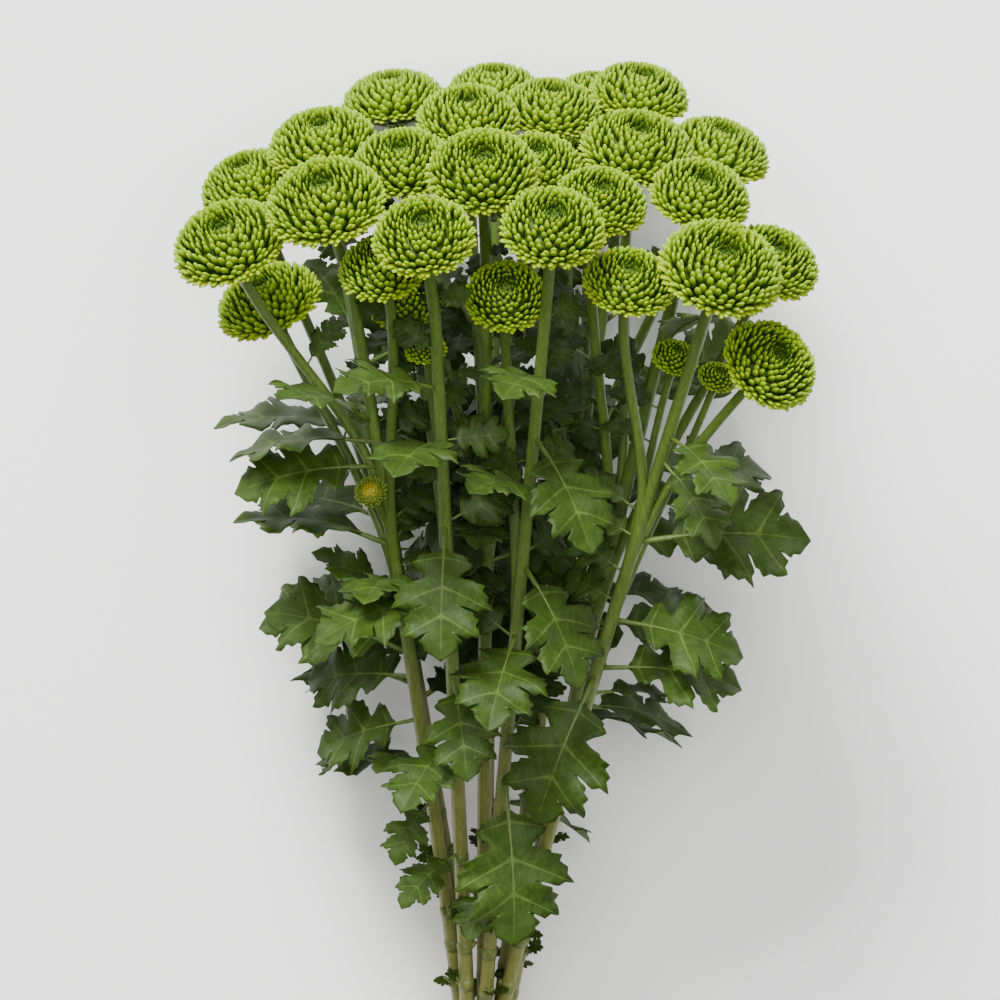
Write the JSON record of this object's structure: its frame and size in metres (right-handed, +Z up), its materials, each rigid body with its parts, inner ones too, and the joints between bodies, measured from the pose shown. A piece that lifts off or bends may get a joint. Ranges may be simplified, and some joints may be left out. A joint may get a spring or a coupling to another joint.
{
  "type": "pompon chrysanthemum bunch",
  "caption": "Tied bunch of green pompon chrysanthemum sprays with lobed leaves on long cut stems, lying on its side.",
  "frame": {"origin": "on the surface the bunch lies on, under the middle of its box", "axes": "+Y from the cut stems to the heads, +Z up through the side of the bunch that the picture shows, +X to that side's right"},
  "size_m": [0.2322, 0.4708, 0.1977],
  "materials": {
    "floret": "soft matt petals, yellow-green at the tips and darker green in the middle",
    "bud": "soft matt yellow disc in green scales",
    "leafy_stem": "fresh plant: dark green leaves with a faint sheen on ribbed yellow-green stems",
    "rubber": "plain tan rubber, slightly matt"
  },
  "bodies": {
    "root": {"flower_01": "floret", "flower_02": "floret", "flower_03": "floret", "flower_04": "floret", "flower_05": "floret", "flower_06": "floret", "flower_07": "floret", "flower_08": "floret", "flower_09": "floret", "flower_10": "floret", "flower_11": "floret", "flower_12": "floret", "flower_13": "floret", "flower_14": "floret", "flower_15": "floret", "flower_16": "floret", "flower_17": "floret", "flower_18": "floret", "flower_19": "floret", "flower_20": "floret", "flower_21": "floret", "flower_22": "floret", "flower_23": "floret", "flower_24": "floret", "flower_25": "floret", "flower_26": "floret", "flower_27": "floret", "flower_28": "floret", "flower_30": "floret", "flower_31": "floret", "flower_32": "floret", "open_bud": "bud", "leafy_stem_1": "leafy_stem", "leafy_stem_2": "leafy_stem", "leafy_stem_3": "leafy_stem", "leafy_stem_4": "leafy_stem", "leafy_stem_5": "leafy_stem", "leafy_stem_6": "leafy_stem", "leafy_stem_7": "leafy_stem", "leafy_stem_8": "leafy_stem", "leafy_stem_9": "leafy_stem", "rubber_band": "rubber"}
  },
  "joints": []
}
